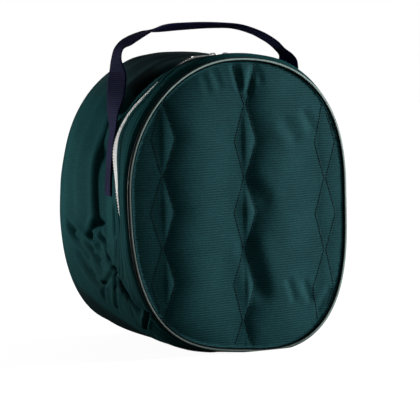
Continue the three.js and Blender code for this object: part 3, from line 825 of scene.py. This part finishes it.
def gussetWall(name, node, frontEdge, backEdge, across, hem):
    # outer face from front to back, a rounded edge, then the inner face; hem is which edge is turned under
    g, inside = gusset, gusset["inside"]
    share = np.arange(g["around"] + 1) / g["around"]
    up = upAt(share)[:, None]
    t = np.linspace(0, 1, across)
    s = np.concatenate([t, [1, 1, 1], np.linspace(1, 0, inside), [0, 0, 0]])
    over = np.concatenate([0 * t, [0.3, 0.6, 0.3], np.zeros(inside), [-0.3, -0.6, -0.3]])
    lift = np.concatenate([0 * t, [-0.3, -0.9, -1.5], np.full(inside, -oval["wall"]), [-1.5, -0.9, -0.3]])
    front, back = frontEdge(up), backEdge(up)
    depth = front + (back - front) * s + over
    fromHem = (depth - front) if hem == "front" else (back - depth)
    dip, dipWidth = g["stitchDip"]
    welt = g["welt"] * ease(fromHem, *g["weltEdge"]) - dip * np.exp(-((fromHem - g["stitchLine"]) / dipWidth) ** 2)
    fromSeam = depth - oval["frontSeam"]
    drawn = sum(drop * np.exp(-(((fromSeam - place) / width) ** 2)) for place, width, drop in g["pipingDips"])
    points = leanFront(gussetPoint(share[:, None], depth, lift + (lift == 0) * welt - drawn))
    uv = np.stack([np.broadcast_to((share * seamLength)[:, None], depth.shape), depth], -1)
    obj = tubePiece(name, points[:-1], np.concatenate([uv, uv[:, :1]], 1), True)
    # painted shade and painted sheen, stored on the cloth as colour attributes
    for layer, amount in paintedShadingAt(up[:-1], depth[:-1], paintedShading).items():
        pointColour(obj, layer, amount)
    finishPiece(obj, [node], gussetCloth)
    return points[:, :across], depth[:, :across]


lidFace, lidDepth = gussetWall("lid_gusset_cloth", "lid_gusset", lambda up: 0 * up + gusset["lidFront"],
                               lambda up: zipAt(up)[0], gusset["lidAcross"], "back")
bodyFace, bodyDepth = gussetWall("body_gusset_cloth", "body_gusset", lambda up: zipAt(up)[1],
                                 lambda up: 0 * up + gusset["bodyBack"], gusset["bodyAcross"], "front")


def edgeStitch(face, depth, fromFront):
    # a row of stitches a set distance in from the zip edge
    count, last = face.shape[0], face.shape[1] - 1
    share = np.arange(count) / (count - 1)
    keep = upAt(share) > gusset["stitchedFrom"]
    v = np.clip(gusset["stitchLine"] / (depth[:, -1] - depth[:, 0]), 0, 1) * last
    place, normal = surfaceLine(face, np.arange(count, dtype=float), v if fromFront else last - v)
    nx, nz = seamAt(share)[2:]
    normal = facing(normal, np.stack([nx, 0 * nx, nz], 1))
    return place[keep] + gusset["threadOut"] * normal[keep], normal[keep]


stitchBatch("gusset_stitches", [edgeStitch(lidFace, lidDepth, False), edgeStitch(bodyFace, bodyDepth, True)],
            gusset["stitch"], tealThread)
print("gussets made")


# the back panel

backPanel = {
    "rings": 60, "around": 420, "dome": 4.7, "wall": 1.8, "middle": 158,
    "waves": [(0.5, 3, 4), (0.4, 5, -6), (0.3, 8, 9)],  # height, waves round, waves outward
    "halfSpan": 125, "seamDip": (0.9, 5, 2.2),  # drop, place in from the rim and half width of the sewn dip
}


def makeBackPanel(b):
    # straight lines from the middle to the rim, domed by one less the square of the share; both faces in one grid
    share = np.arange(b["around"] + 1) / b["around"]
    t = np.linspace(0.004, 1, b["rings"])
    r = np.concatenate([t, [1.002, 1.003, 1.002], t[::-1][::6]])
    lift = np.concatenate([0 * t + b["wall"], [1.5, 0.9, 0.3], 0 * t[::6]])
    rim = gussetPoint(share, np.full(share.shape, oval["backSeam"], float), 0 * share, 0.0)[:, None]
    middle = np.array([0, oval["backSeam"], b["middle"]])
    points = middle + (rim - middle) * np.minimum(r, 1)[None, :, None]
    a = share[:, None] * 2 * np.pi
    slack = (1 - r**4) * r * sum(h * np.sin(n * a + m * r) for h, n, m in b["waves"])
    drop, place, width = b["seamDip"]
    dip = np.where(lift == b["wall"], drop * np.exp(-((((1 - r) * b["halfSpan"] - place) / width) ** 2)), 0)
    points[..., 1] += lift + b["dome"] * (1 - np.minimum(r, 1) ** 2) + slack - dip
    uv = np.stack([points[..., 2], points[..., 0]], -1)
    quads, corners = gridFaces(points[:-1], uv, True, False)
    nv = points.shape[1]
    ring = np.arange(b["around"])
    nextRing = (ring + 1) % b["around"]
    flat = points[:-1].reshape(-1, 3)
    outer, inner = points[:-1, 0].mean(0), points[:-1, -1].mean(0)
    n = len(flat)
    fans = np.vstack([np.stack([np.full(len(ring), n), nextRing * nv, ring * nv], 1),
                      np.stack([np.full(len(ring), n + 1), ring * nv + nv - 1, nextRing * nv + nv - 1], 1)])
    fanUv = np.zeros((len(fans), 3, 2)) + [b["middle"], 0]
    obj = addMesh("back_panel_cloth", np.vstack([flat, outer, inner]), [quads, fans], [corners, fanUv])
    finishPiece(obj, ["back_panel"], gussetCloth)


makeBackPanel(backPanel)
print("back panel made")


# the zip

zipper = {
    "from": 0.28, "width": 26, "tape": 0.8, "tapeTop": 4.3, "tapePoints": 41, "coilTop": 2.1, "steps": 420,
    "toothPitch": 1.5, "tooth": (2.2, 1.1, 0.9), "toothSide": 0.9, "toothOut": 0.1,
    "sliders": (0.972, 0.966), "under": -2.4,  # share of the way up where the sliders lie, level under the cloth
    "proud": 1.2, "proudUp": (0.885, 0.91),  # the closed end stands up a little before the sliders
    "edgeRoom": (0.5, 1.4),  # distance from the cloth's edge over which it rises
}


def zipLift(share, depth, inside, shown, k):
    # under the cloth, rising to the given level where it shows, and down again under the sliders
    up = upAt(share)
    front, back = zipAt(up)
    room = np.minimum(depth - front, back - depth)
    clear = ease(up, *k["sliders"])
    under = np.where(clear > 0.5, k["under"], inside)
    proud = shown + k["proud"] * ease(up, *k["proudUp"])
    return np.minimum(inside, under) * (1 - clear) + clear * (under + (proud - under) * ease(room, *k["edgeRoom"]))


def makeZipTape(k):
    # a flat strip along the zip line, swelling a little between the edges of the cloth
    share = np.linspace(k["from"] / 2, 1 - k["from"] / 2, k["steps"])[:, None]
    across = np.linspace(-0.5, 0.5, k["tapePoints"]) * k["width"]
    depth = np.mean(zipAt(upAt(share)), 0) + across
    lift = zipLift(share, depth, -k["tapeTop"], 0.0, k)
    top = gussetPoint(share, depth, lift)
    low = gussetPoint(share, depth, lift - k["tape"])
    points = np.concatenate([top, low[:, ::-1]], 1)
    v = np.concatenate([across, across[::-1], across[:1]])
    uv = np.stack(np.broadcast_arrays(share * seamLength, v[None]), -1)
    obj = tubePiece("zip_tape_woven", points, uv)
    finishPiece(obj, ["zip_tape"], tapeCloth)


def makeZipTeeth(k):
    # each tooth is a small block with drawn-in ends, placed by turns on either side of the zip line
    first, last = k["from"] / 2, 1 - k["from"] / 2
    count = int((last - first) * seamLength / k["toothPitch"])
    share = first + (np.arange(count) + 0.5) / count * (last - first)
    hand = np.where(np.arange(count) % 2, 1.0, -1.0)
    wide, thick, high = k["tooth"]
    rings = np.array([-0.5, -0.3, 0.3, 0.5])
    fat = np.array([0.55, 1, 1, 0.7])
    acrossCorner, upCorner = np.array([-0.5, 0.5, 0.5, -0.5]), np.array([-0.5, -0.5, 0.5, 0.5])
    template = np.stack([np.repeat(rings, 4) * wide, np.outer(fat, acrossCorner).ravel() * thick,
                         np.outer(fat, upCorner).ravel() * high], 1)
    nx, nz = seamAt(share)[2:]
    out, ahead = np.stack([nx, 0 * nx, nz], 1), np.stack([-nz, 0 * nx, nx], 1)
    side = np.stack([0 * nx, hand, 0 * nx], 1)
    depth = np.mean(zipAt(upAt(share)), 0) + hand * k["toothSide"]
    middle = gussetPoint(share, depth, zipLift(share, depth, -k["coilTop"] - high / 2, k["toothOut"], k))
    points = placeBlocks(template, middle, (side, ahead, out))
    obj = addMesh("zip_teeth", points.reshape(-1, 3), [blockFaces(count, hand < 0)], smooth=False)
    finishPiece(obj, ["zip_coil"], coilNylon)


makeZipTape(zipper)
makeZipTeeth(zipper)

hardware = {"weld": 0.02, "bevel": 0.28}
for nodeName in ("zip_slider_left", "zip_slider_right", "zip_pull_left", "zip_pull_right"):
    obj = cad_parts[nodeName]
    join = obj.modifiers.new("join", "WELD")  # the CAD's triangles are loose
    join.merge_threshold = hardware["weld"] * 0.001
    rounded = obj.modifiers.new("rounded", "BEVEL")
    rounded.width = hardware["bevel"] * 0.001
    rounded.segments = 3
    rounded.limit_method = "ANGLE"
    obj.data.materials.clear()
    obj.data.materials.append(nickel)
print("zip made")


# the webbing handle

strap = {
    "depth": -8, "sewnFrom": 0.535, "sewnTo": 0.69, "width": 25, "thick": 2.0,
    # middle of the free webbing, and how far its back edge swings outward, in degrees
    "arch": [
        (-107, 254, 3), (-104.6, 266, 17), (-102.3, 280, 28), (-100.6, 296, 21), (-101.6, 310, 1), (-98.6, 320.6, -1),
        (-90.3, 326.8, 10), (-84, 330.4, 10), (-74, 335.1, 6), (-64, 338.8, -1), (-52, 341, -15), (-22, 343, -17),
        (18, 343.3, -11), (42, 341.4, -7), (66, 334, -4), (76, 329, -3.5), (85, 323.5, -2), (93, 316.5, 0),
        (100.5, 309.5, -8), (102.7, 303, -27), (103.5, 296, -31), (104.5, 284, -22), (105.7, 270, -12), (107, 254, -2),
    ],
    "steps": 560, "points": 41,
    "samples": 7, "clear": 0.5, "slopeOver": 10,  # places along each sewn end, gap to the cloth, reach of its slope
    "edgePower": 14,  # how squarely the selvedges are rounded
    "boxFrom": 4, "boxTall": 26, "boxInset": 3, "threadOut": 0.1,
    "stitch": {"long": 2.2, "thick": 0.6, "pitch": 2.8},
}


def makeStrap(k):
    # middle line from the sewn ends on the gusset and the free arch, its turn carried along
    ups = np.linspace(k["sewnFrom"], k["sewnTo"], k["samples"])
    depth, reach = np.full(k["samples"], float(k["depth"])), k["slopeOver"]
    fall = np.degrees(np.arctan2(bulgeAt(ups, depth + reach) - bulgeAt(ups, depth - reach), 2 * reach))
    sewn = []
    for share in (1 - ups / 2, ups / 2):
        place = gussetPoint(share, depth, 0 * depth + k["clear"] + k["thick"] / 2, 0.0)
        sewn.append(np.stack([place[:, 0], place[:, 2], fall], 1))
    rows = np.vstack([sewn[0], np.array(k["arch"], float), sewn[1][::-1]])
    run = runLength(rows[:, :2])
    at = np.linspace(0, run[-1], k["steps"])
    x, z, turn = rowsAt(np.column_stack([run, rows]), at).T
    turn = np.radians(turn)
    tx, tz = np.gradient(x), np.gradient(z)
    size = np.hypot(tx, tz)
    out = np.stack([-tz / size, 0 * x, tx / size], 1)

    # a flat section with rounded selvedges, thinning as a high power of the place across
    s = np.linspace(-0.5, 0.5, k["points"]) * k["width"]
    half = k["thick"] / 2 * np.sqrt(np.maximum(1 - np.abs(s / k["width"] * 2) ** k["edgePower"], 0.02))
    sideways = np.concatenate([s, s[::-1]])[None]
    offMiddle = np.concatenate([half, -half[::-1]])[None]
    depthAxis = np.array([0.0, 1.0, 0.0])
    back = np.cos(turn)[:, None] * depthAxis + np.sin(turn)[:, None] * out
    up = np.cos(turn)[:, None] * out - np.sin(turn)[:, None] * depthAxis
    middle = np.stack([x, np.full(len(x), float(k["depth"])), z], 1)
    points = middle[:, None] + sideways[..., None] * back[:, None] + offMiddle[..., None] * up[:, None]
    v = np.concatenate([s, s[::-1], s[:1]])
    uv = np.stack(np.broadcast_arrays(at[:, None], v[None]), -1)
    obj = tubePiece("handle_webbing", points, uv)
    finishPiece(obj, ["handle_strap"], webbing)
    return points[:, :k["points"]], at


strapFace, strapRun = makeStrap(strap)


def boxStitch(face, run, fromEnd, k):
    # a rectangle with a cross, sewn through the end of the webbing
    n = face.shape[1] - 1
    low = k["boxInset"] / k["width"] * n
    high = n - low
    corner = [(0, low), (1, low), (1, high), (0, high), (0, low), (1, high), (1, low), (0, high)]
    t = np.linspace(0, 1, 30)
    rows = []
    for (a0, v0), (a1, v1) in zip(corner[:-1], corner[1:]):
        length = k["boxFrom"] + k["boxTall"] * (a0 + (a1 - a0) * t)
        u = np.interp(run[-1] - length if fromEnd else length, run, np.arange(len(run)))
        place, normal = surfaceLine(face, u, v0 + (v1 - v0) * t)
        normal = facing(normal, np.sign(place[:, :1]) * np.array([1.0, 0, 0]))
        rows.append((place + k["threadOut"] * normal, normal))
    return rows


boxes = boxStitch(strapFace, strapRun, False, strap) + boxStitch(strapFace, strapRun, True, strap)
stitchBatch("handle_stitches", boxes, strap["stitch"], navyThread)
print("handle made")


# floor, backdrop and light

studio = {
    "floor": ("#6f6f6e", "#787877"), "size": 6,  # metres from the middle to an edge
    "lights": [
        # name, place, aim, width and height in metres, watts, spread of the beam in degrees
        ("keyRight", (2.2, -0.66, 0.46), (0, 0, 0.16), (0.7, 0.8), 98, 180),
        ("sideLeft", (-1.76, 1.48, 0.2), (0, 0, 0.16), (0.4, 0.25), 0.56, 14),
        ("frontFill", (-0.7, -2.6, 0.9), (0, 0, 0.16), (1.2, 1.2), 4.5, 180),
    ],
    "ambient": 0.03, "mirrored": 0.22,  # how much of the white surround lights the bag, and shows in it
    "glow": (0.95, 1.0), "glowReach": (0.12, 0.5),  # of the paper, under the bag and far off
}


def makeStudio(k):
    material, tree, coords = newMaterial("matPaper")  # seamless paper: white, matt, barely uneven
    tone = addNode(tree, "TexNoise", {"Vector": coords["Object"], "Scale": 3.0, "Detail": 2.0}).outputs["Fac"]
    far = addNode(tree, "VectorMath", {0: coords["Object"]}, operation="LENGTH").outputs["Value"]
    glow = remap(tree, far, k["glow"], *k["glowReach"])
    eye = addNode(tree, "LightPath").outputs
    surface(tree, {"Base Color": mix(tree, tone, *k["floor"]), "Roughness": 0.9, "Emission Color": (1, 1, 1, 1),
                   "Emission Strength": combine(tree, "MULTIPLY", glow, eye["Is Camera Ray"])})
    corners = np.array([(-1, -1, 0), (1, -1, 0), (1, 1, 0), (-1, 1, 0)]) * float(k["size"])
    mesh = bpy.data.meshes.new("floor")
    mesh.from_pydata(corners.tolist(), [], [(0, 1, 2, 3)])
    floor = bpy.data.objects.new("floor", mesh)
    scene.collection.objects.link(floor)
    mesh.materials.append(material)
    for name, place, aim, size, watts, spread in k["lights"]:
        data = bpy.data.lights.new(name, "AREA")
        data.shape = "RECTANGLE"
        data.size, data.size_y = size
        data.energy = watts
        data.spread = math.radians(spread)
        light = bpy.data.objects.new(name, data)
        light.location = place
        light.rotation_euler = (Vector(aim) - Vector(place)).to_track_quat("-Z", "Y").to_euler()
        scene.collection.objects.link(light)
    # a white surround behind everything, seen and mirrored, which gives the bag only a little light of its own
    world = bpy.data.worlds.new("studio")
    world.use_nodes = True
    tree = world.node_tree
    tree.nodes.clear()
    seen = addNode(tree, "LightPath").outputs
    either = combine(tree, "MULTIPLY_ADD", seen["Is Glossy Ray"], k["mirrored"], seen["Is Camera Ray"])
    sky = addNode(tree, "Background", {"Color": (1, 1, 1, 1), "Strength": remap(tree, either, (k["ambient"], 1.0))})
    addNode(tree, "OutputWorld", {"Surface": sky.outputs["Background"]})
    scene.world = world
    scene.view_settings.view_transform = "Standard"


makeStudio(studio)
print("studio made")
